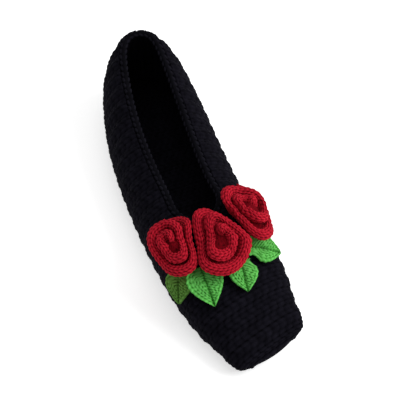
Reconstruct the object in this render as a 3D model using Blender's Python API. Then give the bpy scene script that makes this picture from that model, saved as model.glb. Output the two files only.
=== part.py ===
"""Crochet ballet slipper for the left foot, in metres.

The toe points towards -Y, the outer side of the foot is +X and the floor is Z = 0. A sole, a
hollow ribbed upper and a collar edging share one set of cross sections, and three rolled roses
with four leaves are seated on the upper around the throat.
"""
import math
from collections import namedtuple

import bmesh
import bpy
from mathutils import Matrix, Vector
from mathutils.bvhtree import BVHTree

# Sizes of the last
LENGTH = 0.238
BALL_WIDTH = 0.0740
INSTEP_HEIGHT = 0.0490
BOW = 0.0118
TOE_SLANT = 0.08
SLANT_START = 0.150
TOE_SPRING = 0.0035
SPRING_START = 0.200
ARCH_LIFT = 0.0012
ARCH_START = 0.075
ARCH_END = 0.135

# Sizes of the crocheted wall
WALL = 0.003
GAP = 0.0003
RIDGE = 0.0008
RIDGES = 24
THROAT_RIDGES = 16
THROAT_REACH = 0.022
THROAT_POWER = 0.55
BASE_SHARE = 0.90
BULGE_SHARE = 0.32
HEEL_LEAN = 0.007
HEEL_TUCK = 0.003
TOE_TUCK = 0.002
HEEL_REACH = 0.060
LOWER_COLUMNS = 3
UPPER_COLUMNS = 7

# Sizes of the sole and the collar edging
SOLE_THICK = 0.005
SOLE_SHARE = 0.925
SOLE_ROWS = 36
EDGING_RADIUS = 0.0019

# Sizes of the roses and leaves
ROSE_TURNS = 2.25
ROSE_STEPS = 64
ROSE_PETALS = 7
ROSE_CORE_FOOT = 0.0022
ROSE_CORE_RIM = 0.0026
ROSE_FOOT = 0.0115
ROSE_BUD_HEIGHT = 0.0170
ROSE_RIM_HEIGHT = 0.0085
ROSE_DROP = 1.5
ROSE_OPENING = 1.2
ROSE_LOBE_HEIGHT = 0.0032
ROSE_LOBE_SHARE = 0.10
ROSE_OVAL = 0.36
ROSE_UPRIGHT = 0.25
ROSE_FOOT_THICK = 0.0026
ROSE_LOWEST = -0.0045
ROSE_RIM_THICK = 0.0072
ROSE_SNUG = 0.88
ROSE_HOLE = 0.0005
ROSE_TAIL = 0.075
LEAF_THICK = 0.0024
LEAF_CURL = 0.0016
LEAF_ROWS = 9
LEAF_COLUMNS = 6

# Cross sections from the heel seam to the toe seam. along is a share of the length, half a share
# of half the ball width, crown a share of the instep height, collar a share of the station's own
# half width and square the exponent of the arched section.
Station = namedtuple("Station", "along half crown collar square")
STATIONS = [
    Station(along=0.000, half=0.00, crown=1.44, collar=0.66, square=2.2),
    Station(along=0.012, half=0.31, crown=1.44, collar=0.65, square=2.2),
    Station(along=0.045, half=0.56, crown=1.40, collar=0.62, square=2.2),
    Station(along=0.105, half=0.73, crown=1.32, collar=0.59, square=2.2),
    Station(along=0.230, half=0.88, crown=1.17, collar=0.56, square=2.2),
    Station(along=0.350, half=0.94, crown=1.06, collar=0.54, square=2.2),
    Station(along=0.500, half=0.97, crown=0.99, collar=0.50, square=2.2),
    Station(along=0.650, half=0.98, crown=1.00, collar=0.46, square=2.3),
    Station(along=0.750, half=0.97, crown=0.88, collar=0.00, square=2.4),
    Station(along=0.850, half=0.90, crown=0.69, collar=0.00, square=2.6),
    Station(along=0.920, half=0.79, crown=0.53, collar=0.00, square=2.7),
    Station(along=0.960, half=0.75, crown=0.43, collar=0.00, square=2.7),
    Station(along=0.987, half=0.68, crown=0.35, collar=0.00, square=2.6),
    Station(along=1.000, half=0.50, crown=0.285, collar=0.00, square=2.5),
]

# Half of the sole's section, from the middle of the tread round the edge to the middle of the
# foot bed: width as a share of the sole's half width, height as a share of its thickness.
SoleCorner = namedtuple("SoleCorner", "width height")
SOLE_PROFILE = [
    SoleCorner(width=0.00, height=0.00),
    SoleCorner(width=0.50, height=0.00),
    SoleCorner(width=0.92, height=0.00),
    SoleCorner(width=0.98, height=0.18),
    SoleCorner(width=1.00, height=0.50),
    SoleCorner(width=0.98, height=0.86),
    SoleCorner(width=0.95, height=1.00),
    SoleCorner(width=0.50, height=1.00),
    SoleCorner(width=0.00, height=1.00),
]

# Roses by place along the last and across it from the centre line. slot is the direction of the
# oval bud, end the direction in which the rolled strip ends and hand the sense of its winding.
Rose = namedtuple("Rose", "name along across radius stretch slot end hand")
ROSES = [
    Rose(name="rose_medial", along=0.1622, across=-0.0244, radius=0.0214, stretch=0.14,
         slot=0.28, end=3.00, hand=1),
    Rose(name="rose_centre", along=0.1728, across=0.0006, radius=0.0254, stretch=0.02,
         slot=-0.59, end=2.60, hand=-1),
    Rose(name="rose_lateral", along=0.1598, across=0.0220, radius=0.0224, stretch=0.34,
         slot=1.21, end=2.90, hand=1),
]

# Leaves by the two ends of the mid vein, the width, and how far each margin curls up
Leaf = namedtuple("Leaf", "name base_along base_across tip_along tip_across width curl_medial curl_lateral")
LEAVES = [
    Leaf(name="leaf_medial", base_along=0.1742, base_across=-0.0290, tip_along=0.1876,
         tip_across=-0.0346, width=0.0215, curl_medial=0.0016, curl_lateral=0.0),
    Leaf(name="leaf_front_medial", base_along=0.1800, base_across=-0.0174, tip_along=0.2026,
         tip_across=-0.0206, width=0.0232, curl_medial=0.0054, curl_lateral=0.0016),
    Leaf(name="leaf_front_lateral", base_along=0.1893, base_across=0.0058, tip_along=0.2052,
         tip_across=0.0008, width=0.0190, curl_medial=0.0016, curl_lateral=0.0016),
    Leaf(name="leaf_lateral", base_along=0.1827, base_across=0.0186, tip_along=0.1900,
         tip_across=0.0322, width=0.0200, curl_medial=0.0016, curl_lateral=0.0016),
]

BLACK = (0.012, 0.011, 0.015, 1.0)
RED = (0.420, 0.012, 0.030, 1.0)
GREEN = (0.085, 0.380, 0.060, 1.0)

# How each column of the table becomes a size in metres
COLUMN_UNITS = Station(along=LENGTH, half=BALL_WIDTH / 2, crown=INSTEP_HEIGHT, collar=1.0, square=1.0)


def sized_stations():
    """The table's rows in metres, with a mirrored row ahead of the heel seam."""
    rows = []
    for station in STATIONS:
        rows.append(Station(*[share * unit for share, unit in zip(station, COLUMN_UNITS)]))
    first = rows[1]
    mirrored = first._replace(half=-first.half)
    return [mirrored] + rows


SIZED = sized_stations()


def fabric_distances():
    """Distance of every sized row from the heel seam, measured along the outline."""
    distances = [0.0]
    for before, after in zip(SIZED, SIZED[1:]):
        step = math.hypot(after.along - before.along, after.half - before.half)
        distances.append(distances[-1] + step)
    start = distances[1]
    return [distance - start for distance in distances]


DISTANCES = fabric_distances()
FABRIC_LENGTH = DISTANCES[-1]


def slope_at_row(row, column):
    """Slope of one column at a sized row, from the rows on both sides of it."""
    low = max(row - 1, 0)
    high = min(row + 1, len(SIZED) - 1)
    return (SIZED[high][column] - SIZED[low][column]) / (DISTANCES[high] - DISTANCES[low])


def station_at(distance):
    """The station at a fabric distance, on a smooth curve through the table's rows."""
    row = 1
    while row < len(SIZED) - 2 and DISTANCES[row + 1] <= distance:
        row += 1
    span = DISTANCES[row + 1] - DISTANCES[row]
    t = (distance - DISTANCES[row]) / span
    values = []
    for column in range(len(Station._fields)):
        start = SIZED[row][column]
        end = SIZED[row + 1][column]
        leave = slope_at_row(row, column) * span
        arrive = slope_at_row(row + 1, column) * span
        values.append(
            start * (2 * t ** 3 - 3 * t ** 2 + 1)
            + leave * (t ** 3 - 2 * t ** 2 + t)
            + end * (3 * t ** 2 - 2 * t ** 3)
            + arrive * (t ** 3 - t ** 2)
        )
    return Station(*values)


def plan_direction(distance):
    """Unit direction of the outline in plan: its parts along the foot and across it."""
    step = 0.0005
    before = station_at(max(distance - step, 0.0))
    after = station_at(min(distance + step, FABRIC_LENGTH))
    if distance < step:
        return 0.0, 1.0
    along = after.along - before.along
    half = after.half - before.half
    size = math.hypot(along, half)
    return along / size, half / size


def smoothstep(value):
    """Eases from 0 to 1 as the value goes from 0 to 1."""
    t = min(max(value, 0.0), 1.0)
    return t * t * (3 - 2 * t)


def tread_height(along):
    """Height of the underside of the sole: flat, a low arch and a toe spring."""
    if along > SPRING_START:
        return TOE_SPRING * ((along - SPRING_START) / (LENGTH - SPRING_START)) ** 2
    if ARCH_START < along < ARCH_END:
        return ARCH_LIFT * math.sin(math.pi * (along - ARCH_START) / (ARCH_END - ARCH_START)) ** 2
    return 0.0


def place(along, across, height):
    """A point of the straight slipper in the bowed and slanted last."""
    slant = TOE_SLANT * smoothstep((along - SLANT_START) / (LENGTH - SLANT_START))
    along = along - slant * across
    share = 2 * along / LENGTH - 1
    centre = -BOW * (1 - share * share)
    lean = 4 * BOW / LENGTH * share
    size = math.hypot(1.0, lean)
    return Vector((centre + across / size, LENGTH / 2 - along + across * lean / size, height))


def heel_shift(along, height, bulge, top):
    """How far the back of the heel leans in above its bulge and tucks in below it."""
    if along >= HEEL_REACH:
        return 0.0
    fade = (1 - along / HEEL_REACH) ** 2
    if height > bulge:
        return HEEL_LEAN * fade * ((height - bulge) / (top - bulge)) ** 1.6
    return HEEL_TUCK * fade * ((bulge - height) / bulge) ** 2


THROAT_DISTANCE = FABRIC_LENGTH * THROAT_RIDGES / RIDGES


def collar_share(distance, station):
    """Half width of the opening as a share of the half width, closing at the throat."""
    if distance >= THROAT_DISTANCE - 1e-9:
        return 0.0
    closing = (distance - THROAT_DISTANCE + THROAT_REACH) / THROAT_REACH
    if closing <= 0:
        return station.collar
    return station.collar * (1 - closing * closing) ** THROAT_POWER


def half_section(distance, inset, side):
    """Points of one wall from the sole's edge up to the collar or the crown."""
    station = station_at(distance)
    run, spread = plan_direction(distance)
    along = station.along + inset * spread
    half = max(station.half - inset * run, 0.0)
    base_half = max(station.half * BASE_SHARE - inset * run, 0.0)
    base = tread_height(station.along) + SOLE_THICK + GAP
    bulge = base + BULGE_SHARE * (station.crown - base)
    crown = station.crown - inset
    power = 2 / station.square
    top_angle = math.acos(collar_share(distance, station) ** (1 / power))
    points = []
    for column in range(LOWER_COLUMNS):
        angle = math.pi / 2 * column / LOWER_COLUMNS
        across = base_half + (half - base_half) * math.sin(angle)
        height = base + (bulge - base) * (1 - math.cos(angle))
        points.append((across, height))
    for column in range(UPPER_COLUMNS + 1):
        angle = top_angle * column / UPPER_COLUMNS
        across = half * max(math.cos(angle), 0.0) ** power if angle < math.pi / 2 - 1e-9 else 0.0
        height = bulge + (crown - bulge) * math.sin(angle) ** power
        points.append((across, height))
    placed = []
    for across, height in points:
        shift = heel_shift(along, height, bulge, station.crown)
        placed.append(place(along + shift, side * across, height))
    return placed


def ridge_fade(column, closed):
    """Ridges run out at the sole's edge, and at the collar where the section is open."""
    share = column / (LOWER_COLUMNS + UPPER_COLUMNS)
    rise = min(1.0, 4 * share)
    return rise if closed else min(rise, 5 * (1 - share))


def ridge_height(distance):
    """Height of the ribbing at a fabric distance, running out at both seams."""
    pitch = FABRIC_LENGTH / RIDGES
    wave = 1 - abs(2 * (distance / pitch % 1.0) - 1)
    ends = min(1.0, distance / (3 * pitch), (FABRIC_LENGTH - distance) / (3 * pitch))
    return RIDGE * wave * ends


def ridged_section(distance, closed, side):
    """One wall's outer points, raised by a ridge of the ribbed crochet."""
    plain = half_section(distance, 0.0, side)
    raised = half_section(distance, -ridge_height(distance), side)
    points = []
    for column, (low, high) in enumerate(zip(plain, raised)):
        points.append(low.lerp(high, ridge_fade(column, closed)))
    return points


def add_rows(mesh, rows):
    """Adds each row's points as vertices."""
    return [[mesh.verts.new(point) for point in row] for row in rows]


def loft(mesh, rows):
    """Quads between neighbouring rows of vertices."""
    for first, second in zip(rows, rows[1:]):
        for k in range(len(first) - 1):
            mesh.faces.new((first[k], first[k + 1], second[k + 1], second[k]))


def weld(mesh):
    """Joins vertices that coincide and turns every face outward."""
    bmesh.ops.remove_doubles(mesh, verts=mesh.verts[:], dist=1e-6)
    bmesh.ops.dissolve_degenerate(mesh, edges=mesh.edges[:], dist=1e-7)
    bmesh.ops.recalc_face_normals(mesh, faces=mesh.faces[:])


def make_material(name, colour, roughness):
    """A plain material of one colour."""
    material = bpy.data.materials.new(name)
    material.use_nodes = True
    shader = material.node_tree.nodes["Principled BSDF"]
    shader.inputs["Base Color"].default_value = colour
    shader.inputs["Roughness"].default_value = roughness
    return material


def add_object(name, data, material, parent):
    """Links a named object with its own material under the slipper's empty."""
    data.materials.append(material)
    created = bpy.data.objects.new(name, data)
    bpy.context.scene.collection.objects.link(created)
    created.parent = parent
    return created


def add_mesh_object(name, mesh, material, parent):
    """Turns a bmesh into a smooth shaded object."""
    data = bpy.data.meshes.new(name)
    for face in mesh.faces:
        face.smooth = True
    mesh.to_mesh(data)
    mesh.free()
    return add_object(name, data, material, parent)


HALF_RIDGE = FABRIC_LENGTH / (2 * RIDGES)
THROAT_ROUNDING = [THROAT_DISTANCE - HALF_RIDGE * share for share in (0.55, 0.22)]
ROW_DISTANCES = sorted([HALF_RIDGE * row for row in range(2 * RIDGES + 1)] + THROAT_ROUNDING)
THROAT_ROW = 2 * THROAT_RIDGES + len(THROAT_ROUNDING)


def upper_mesh():
    """The hollow upper: ribbed outer wall, plain inner wall, collar rim, lower rim and toe."""
    mesh = bmesh.new()
    ends = []
    for side in (1, -1):
        outer_rows = []
        inner_rows = []
        for row, distance in enumerate(ROW_DISTANCES):
            outer_rows.append(ridged_section(distance, row >= THROAT_ROW, side))
            inner_rows.append(half_section(distance, WALL, side))
        outer = add_rows(mesh, outer_rows)
        inner = add_rows(mesh, inner_rows)
        loft(mesh, outer)
        loft(mesh, inner)
        loft(mesh, [[row[0] for row in outer], [row[0] for row in inner]])
        collar_outer = [row[-1] for row in outer[:THROAT_ROW + 1]]
        collar_inner = [row[-1] for row in inner[:THROAT_ROW + 1]]
        loft(mesh, [collar_outer, collar_inner])
        ends.append((outer[-1], inner[-1]))
    (outer_right, inner_right), (outer_left, inner_left) = ends
    mesh.faces.new(outer_right + outer_left[-2::-1])
    mesh.faces.new(inner_right + inner_left[-2::-1])
    mesh.faces.new((outer_right[0], outer_left[0], inner_left[0], inner_right[0]))
    weld(mesh)
    return mesh


def crest_tree():
    """A search tree over the crests of the ridges, on which roses and leaves are seated."""
    mesh = bmesh.new()
    for side in (1, -1):
        loft(mesh, add_rows(mesh, [half_section(d, -RIDGE, side) for d in ROW_DISTANCES]))
    weld(mesh)
    tree = BVHTree.FromBMesh(mesh)
    mesh.free()
    return tree


def sole_mesh():
    """The sole: one flat crocheted slab with rounded edges, a low arch and a toe spring."""
    mesh = bmesh.new()
    ends = []
    for side in (1, -1):
        rows = []
        for row in range(SOLE_ROWS + 1):
            share = row / SOLE_ROWS
            distance = FABRIC_LENGTH * share
            station = station_at(distance)
            tread = tread_height(station.along)
            points = []
            for corner in SOLE_PROFILE:
                height = corner.height * SOLE_THICK
                shift = heel_shift(station.along, height, SOLE_THICK, 2 * SOLE_THICK)
                across = side * corner.width * SOLE_SHARE * station.half
                tuck = HEEL_TUCK * (1 - share) ** 8 - TOE_TUCK * share ** 8
                points.append(place(station.along + tuck + shift, across, tread + height))
            rows.append(points)
        placed = add_rows(mesh, rows)
        loft(mesh, placed)
        ends.append(placed[-1])
    right, left = ends
    mesh.faces.new(right[:-1] + left[:0:-1])
    weld(mesh)
    return mesh


def edging_loop():
    """Centre line of the edging, just inside the opening along the upper's rim."""
    rims = []
    for side in (1, -1):
        rim = []
        for distance in ROW_DISTANCES[:THROAT_ROW + 1]:
            rim.append((half_section(distance, 0.0, side)[-1], half_section(distance, WALL, side)[-1]))
        rims.append(rim)
    right, left = rims
    loop = right + left[-2:0:-1]
    centre = Vector((0.0, 0.0, 0.0))
    for outer, inner in loop:
        centre += (outer + inner) / (2 * len(loop))
    points = []
    for k, (outer, inner) in enumerate(loop):
        before = sum(loop[k - 1], Vector()) / 2
        after = sum(loop[(k + 1) % len(loop)], Vector()) / 2
        middle = (outer + inner) / 2
        inward = (after - before).cross(outer - inner).normalized()
        if inward.dot(centre + Vector((0.0, 0.0, 0.03)) - middle) < 0:
            inward = -inward
        points.append(middle + inward * (EDGING_RADIUS + GAP * 2))
    return points


def edging_curve():
    """The collar edging: one round of crochet, as a rounded cord along the rim."""
    curve = bpy.data.curves.new("collar_edging", "CURVE")
    curve.dimensions = "3D"
    curve.bevel_depth = EDGING_RADIUS
    curve.bevel_resolution = 2
    points = edging_loop()
    spline = curve.splines.new("POLY")
    spline.points.add(len(points) - 1)
    for point, position in zip(spline.points, points):
        point.co = (*position, 1.0)
    spline.use_cyclic_u = True
    return curve


def seat_point(tree, along, across):
    """The point of the crests above a place on the last, with the outward direction there."""
    top = place(along, across, 0.2)
    hit, normal, _, _ = tree.ray_cast(top, Vector((0.0, 0.0, -1.0)))
    if normal.z < 0:
        normal = -normal
    return hit, normal


def rose_seat(tree, hit, axis, offset):
    """Height of a rose's foot over its seat, clear of the crests below it."""
    below = tree.ray_cast(hit + offset + axis * 0.03, -axis)[0]
    if below is None:
        return ROSE_LOWEST
    return max((below - hit).dot(axis) + 2 * GAP, ROSE_LOWEST)


def rose_frame(tree, rose):
    """Seat, axis and the two directions across a rose."""
    hit, normal = seat_point(tree, rose.along, rose.across)
    axis = normal.lerp(Vector((0.0, 0.0, 1.0)), ROSE_UPRIGHT).normalized()
    ahead = Vector((0.0, -1.0, 0.0))
    ahead = (ahead - axis * ahead.dot(axis)).normalized()
    return hit, axis, ahead, axis.cross(ahead)


def rose_squeeze(tree, rose, outward):
    """How much a rose is pressed in towards one side by the roses next to it."""
    hit, axis, _, _ = rose_frame(tree, rose)
    middle = hit + axis * ROSE_RIM_HEIGHT
    press = 1.0
    for other in ROSES:
        if other.name == rose.name:
            continue
        other_hit, other_axis, _, _ = rose_frame(tree, other)
        towards = other_hit + other_axis * ROSE_RIM_HEIGHT - middle
        limit = towards.length * rose.radius / (rose.radius + other.radius) - GAP
        facing = outward.dot(towards.normalized())
        if facing > 0.05:
            press += (facing * rose.radius / limit) ** 10
    return press ** -0.1


def rose_angle(rose, share):
    """Direction of the rolled strip at a share of its length, turned from straight ahead."""
    return rose.end - rose.hand * 2 * math.pi * ROSE_TURNS * (1 - share)


def rose_radius(tree, rose, share, core, outer):
    """Middle radius of the rolled strip at a share of its length, from its core to its outer turn."""
    angle = rose_angle(rose, share)
    hit, axis, ahead, sideways = rose_frame(tree, rose)
    outward = ahead * math.cos(angle) + sideways * math.sin(angle)
    oval = 1 + ROSE_OVAL * (1 - share) * math.cos(2 * (angle - rose.slot))
    opened = 1 - (1 - min(share, 1.0)) ** ROSE_OPENING
    stretch = 1 + rose.stretch * share * math.cos(2 * angle)
    return (core + (outer - core) * opened) * oval * stretch * rose_squeeze(tree, rose, outward)


def turn_spacing(tree, rose, share, core, outer):
    """Room for the strip's thickness between a place of it and the turns inside and outside it."""
    turn = 1 / ROSE_TURNS
    here = rose_radius(tree, rose, share, core, outer)
    room = [ROSE_RIM_THICK / ROSE_SNUG]
    if share >= turn:
        room.append(here - rose_radius(tree, rose, share - turn, core, outer))
    if share <= 1 - turn:
        room.append(rose_radius(tree, rose, share + turn, core, outer) - here)
    return min(room)


def rose_mesh(tree, rose):
    """A strip of petals rolled up from a tight oval bud to open outer petals with thick rims."""
    hit, axis, ahead, sideways = rose_frame(tree, rose)
    reach = rose.radius - ROSE_RIM_THICK / 2
    mesh = bmesh.new()
    rows = []
    for step in range(ROSE_STEPS + 1):
        share = step / ROSE_STEPS
        angle = rose_angle(rose, share)
        outward = ahead * math.cos(angle) + sideways * math.sin(angle)
        lobe = abs(math.sin(math.pi * ROSE_PETALS * share)) - 0.8
        tail = smoothstep((1 - share) / ROSE_TAIL)
        start = smoothstep(share / ROSE_TAIL)
        rim_room = ROSE_SNUG * turn_spacing(tree, rose, share, ROSE_CORE_RIM, reach)
        foot = rose_radius(tree, rose, share, ROSE_CORE_FOOT, ROSE_FOOT)
        rim = rose_radius(tree, rose, share, ROSE_CORE_RIM, reach)
        thick = min(rim_room * (0.55 + 0.45 * tail), 2 * (rim - ROSE_HOLE))
        rim -= 0.22 * rim_room * (1 - tail)
        rim *= 1 + ROSE_LOBE_SHARE * share ** 2 * lobe * tail
        rim_height = ROSE_BUD_HEIGHT + (ROSE_RIM_HEIGHT - ROSE_BUD_HEIGHT) * share ** ROSE_DROP
        rim_height += ROSE_LOBE_HEIGHT * lobe
        rim_height *= (0.30 + 0.70 * tail) * (0.88 + 0.12 * start)
        inner_foot = foot - ROSE_FOOT_THICK / 2
        outer_foot = foot + ROSE_FOOT_THICK / 2
        inner_seat = rose_seat(tree, hit, axis, outward * inner_foot)
        outer_seat = rose_seat(tree, hit, axis, outward * outer_foot)
        belly = foot + (rim - foot) * 0.55
        belly_thick = 0.5 * (thick + ROSE_FOOT_THICK)
        belly_height = outer_seat + (rim_height - outer_seat) * 0.45
        outline = [
            (inner_foot, inner_seat),
            (belly - belly_thick / 2, belly_height),
            (rim - thick * 0.50, rim_height - thick * 0.45),
            (rim - thick * 0.30, rim_height - thick * 0.10),
            (rim + thick * 0.06, rim_height),
            (rim + thick * 0.40, rim_height - thick * 0.22),
            (rim + thick * 0.50, rim_height - thick * 0.58),
            (belly + belly_thick / 2, belly_height),
            (outer_foot, outer_seat),
        ]
        rows.append([hit + outward * out + axis * height for out, height in outline])
    placed = add_rows(mesh, rows)
    loft(mesh, placed)
    loft(mesh, [[row[-1] for row in placed], [row[0] for row in placed]])
    mesh.faces.new(placed[0])
    mesh.faces.new(placed[-1])
    weld(mesh)
    return mesh


def leaf_half_width(leaf, share):
    """Half width of a leaf: rounded at the stalk and pointed at the tip."""
    shape = (share + 0.10) ** 0.60 * (1.02 - share) ** 1.10
    return leaf.width / 2 * shape / 0.402


def leaf_mesh(tree, leaf):
    """A pointed leaf lying on the crests, folded down its mid vein with its margins curled up."""
    base, base_normal = seat_point(tree, leaf.base_along, leaf.base_across)
    tip, tip_normal = seat_point(tree, leaf.tip_along, leaf.tip_across)
    forward = (tip - base).normalized()
    up = base_normal + tip_normal
    up = (up - forward * up.dot(forward)).normalized()
    sideways = up.cross(forward)
    length = (tip - base).length
    lower_rows = []
    upper_rows = []
    for row in range(LEAF_ROWS + 1):
        share = row / LEAF_ROWS
        lower = []
        upper = []
        for column in range(LEAF_COLUMNS + 1):
            off = 2 * column / LEAF_COLUMNS - 1
            flat = base + forward * length * share + sideways * leaf_half_width(leaf, share) * off
            below = tree.ray_cast(flat + up * 0.03, -up)[0]
            seat = flat if below is None else below
            curl = leaf.curl_lateral if off > 0 else leaf.curl_medial
            lift = GAP * 1.3 + curl * off * off + LEAF_CURL * share ** 3
            thick = LEAF_THICK * (0.72 + 0.28 * math.sin(math.pi * min(abs(off) * 1.1, 1.0)))
            lower.append(seat + up * lift)
            upper.append(seat + up * (lift + thick))
        lower_rows.append(lower)
        upper_rows.append(upper)
    mesh = bmesh.new()
    below = add_rows(mesh, lower_rows)
    above = add_rows(mesh, upper_rows)
    loft(mesh, below)
    loft(mesh, above)
    loft(mesh, [below[0], above[0]])
    loft(mesh, [below[-1], above[-1]])
    for column in (0, -1):
        loft(mesh, [[row[column] for row in below], [row[column] for row in above]])
    weld(mesh)
    return mesh


def centre_on_floor(parent):
    """Moves the slipper so that its box is centred over the origin and stands on Z = 0."""
    bpy.context.view_layer.update()
    graph = bpy.context.evaluated_depsgraph_get()
    corners = []
    for child in parent.children:
        evaluated = child.evaluated_get(graph)
        mesh = evaluated.to_mesh()
        corners.extend(evaluated.matrix_world @ vertex.co for vertex in mesh.vertices)
        evaluated.to_mesh_clear()
    low = [min(corner[axis] for corner in corners) for axis in range(3)]
    high = [max(corner[axis] for corner in corners) for axis in range(3)]
    parent.location = (-(low[0] + high[0]) / 2, -(low[1] + high[1]) / 2, -low[2])
    bpy.context.view_layer.update()


def main():
    """Builds every piece of the slipper."""
    for existing in list(bpy.data.objects):
        bpy.data.objects.remove(existing, do_unlink=True)
    slipper = bpy.data.objects.new("slipper", None)
    bpy.context.scene.collection.objects.link(slipper)
    tree = crest_tree()
    add_mesh_object("sole", sole_mesh(), make_material("sole_yarn", BLACK, 0.9), slipper)
    add_mesh_object("upper", upper_mesh(), make_material("upper_yarn", BLACK, 0.9), slipper)
    add_object("collar_edging", edging_curve(), make_material("edging_yarn", BLACK, 0.9), slipper)
    for rose in ROSES:
        add_mesh_object(rose.name, rose_mesh(tree, rose), make_material(rose.name, RED, 0.85), slipper)
    for leaf in LEAVES:
        add_mesh_object(leaf.name, leaf_mesh(tree, leaf), make_material(leaf.name, GREEN, 0.85), slipper)
    centre_on_floor(slipper)


if __name__ == "__main__":
    main()
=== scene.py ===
"""Looks of a crochet slipper: stitched upper, sole and edging, rolled roses and leaves.

Every piece follows the same last as the solids that it replaces. The toe points towards -Y, the
outer side of the foot is +X and the floor is Z = 0.
"""
import logging
import math
from bisect import bisect_right
from dataclasses import dataclass, field
from enum import Enum
from typing import Callable, NamedTuple, Sequence

import bmesh
import bpy
from mathutils import Matrix, Vector
from mathutils.bvhtree import BVHTree


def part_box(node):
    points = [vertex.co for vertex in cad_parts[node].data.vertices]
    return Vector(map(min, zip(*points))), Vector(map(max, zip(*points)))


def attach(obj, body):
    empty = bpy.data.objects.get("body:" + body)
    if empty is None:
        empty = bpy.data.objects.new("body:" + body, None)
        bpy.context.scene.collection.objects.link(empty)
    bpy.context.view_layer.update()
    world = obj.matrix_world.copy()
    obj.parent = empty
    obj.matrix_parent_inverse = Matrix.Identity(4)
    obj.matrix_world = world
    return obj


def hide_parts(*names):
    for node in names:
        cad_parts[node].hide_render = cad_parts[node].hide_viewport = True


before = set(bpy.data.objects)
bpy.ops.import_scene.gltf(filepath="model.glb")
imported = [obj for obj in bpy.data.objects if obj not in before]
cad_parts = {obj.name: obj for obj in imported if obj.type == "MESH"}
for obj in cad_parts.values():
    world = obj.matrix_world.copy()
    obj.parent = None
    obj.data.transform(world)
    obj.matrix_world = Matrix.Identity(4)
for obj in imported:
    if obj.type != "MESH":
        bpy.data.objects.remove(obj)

LOG = logging.getLogger("slipper")
BODY = "root"
PAINTED_LIGHT = "depth"
COLLAR = "collar"
MILLIMETRE = 0.001
GAP = 0.0003
WELD_DISTANCE = 2e-6
TINY = 1e-9
WHITE = (1.0, 1.0, 1.0, 1.0)
STRAND_PLACES = (0.26, 0.74)
STRAND_WIDTH = 0.27
STITCH_STAGGER = 0.25
STITCH_FALL = 0.42
STITCH_LEAN = 0.17


class Side(Enum):
    """The two walls of the slipper, by the sign of their distance from the centre line."""

    LATERAL = 1
    MEDIAL = -1


class Station(NamedTuple):
    """One cross section of the last."""

    along: float
    half: float
    crown: float
    collar: float
    square: float


class SoleCorner(NamedTuple):
    """A corner of half the sole's section, as shares of its half width and thickness."""

    width: float
    height: float


class WallPoint(NamedTuple):
    """A point of the straight wall, the outward step of a millimetre there, and two arcs."""

    base: Vector
    outward: Vector
    from_crown: float
    from_sole: float


class Knot(NamedTuple):
    """A vertex place with its painted light value: low for painted shade, high for a painted highlight.
    """

    place: Vector
    depth: float


def smoothstep(value: float) -> float:
    """Eases from 0 to 1 as the value goes from 0 to 1."""
    t = min(max(value, 0.0), 1.0)
    return t * t * (3 - 2 * t)


def rise_from(low: float, share: float) -> float:
    """Goes from a low value to 1 as the share goes from 0 to 1."""
    return low + (1 - low) * share


def wave(length: float, pitch: float) -> float:
    """Height of a row of waves at a length along it, from 0 to 1."""
    return 0.5 - 0.5 * math.cos(2 * math.pi * length / pitch)


def strand(offset: float, width: float) -> float:
    """Height of a round strand of yarn at an offset from its middle line, from 0 to 1."""
    share = offset / width
    return math.sqrt(1 - share * share) if abs(share) < 1 else 0.0


def chain_relief(row: float, stitch: float, lean: float = STITCH_LEAN) -> float:
    """Relief of rows of chain stitches, worked to and fro.

    Args:
        row: Place across the rows, counted in rows.
        stitch: Place along the rows, counted in stitches.
        lean: How far a strand leans over the length of a stitch, as a share of a row.

    Returns:
        The height, from 0 in the gaps to 1 on the strands.
    """
    number = math.floor(row)
    p = row - number
    turn = 1 if number % 2 else -1
    q = (stitch + STITCH_STAGGER * turn) % 1.0
    slant = lean * turn * (q - 0.5)
    crest = 1 - STITCH_FALL * (2 * q - 1) ** 2
    first, second = STRAND_PLACES
    return crest * max(strand(p - first - slant, STRAND_WIDTH), strand(p - second + slant, STRAND_WIDTH))


def running_lengths(points: Sequence[Sequence[float]]) -> list[float]:
    """Length of a line of points up to each of them.

    Args:
        points: The places along the line.

    Returns:
        The running lengths, from 0.
    """
    lengths = [0.0]
    for before, after in zip(points, points[1:]):
        lengths.append(lengths[-1] + math.dist(before, after))
    return lengths


def find_span(lengths: list[float], length: float) -> tuple[int, float]:
    """The stretch of a line that a length falls on.

    Args:
        lengths: The running lengths of the line's points.
        length: The length to find.

    Returns:
        The number of the stretch, and the share of it that is passed.
    """
    span = min(max(bisect_right(lengths, length) - 1, 0), len(lengths) - 2)
    size = max(lengths[span + 1] - lengths[span], TINY)
    return span, (length - lengths[span]) / size


def new_bmesh() -> bmesh.types.BMesh:
    """An empty mesh with the layer that keeps each vertex's painted light value, from painted shade to
    painted highlight.

    Returns:
        The mesh.
    """
    mesh = bmesh.new()
    mesh.verts.layers.float.new(PAINTED_LIGHT)
    return mesh


def map_grid(mesh: bmesh.types.BMesh, rows: list[list[Knot]]) -> list[list[bmesh.types.BMVert]]:
    """Adds a grid whose vertices are moved to the places of a table of knots.

    Args:
        mesh: The mesh that takes the grid.
        rows: The knots by row and column.

    Returns:
        The grid's vertices by row and column.
    """
    long_count = len(rows) - 1
    wide_count = len(rows[0]) - 1
    made = bmesh.ops.create_grid(mesh, x_segments=long_count, y_segments=wide_count, size=1.0)
    painted_light_layer = mesh.verts.layers.float[PAINTED_LIGHT]
    grid = [[None] * (wide_count + 1) for _ in rows]
    for vertex in made["verts"]:
        i = round((vertex.co.x + 1) / 2 * long_count)
        j = round((vertex.co.y + 1) / 2 * wide_count)
        knot = rows[i][j]
        vertex.co = knot.place
        vertex[painted_light_layer] = knot.depth
        grid[i][j] = vertex
    return grid


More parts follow.
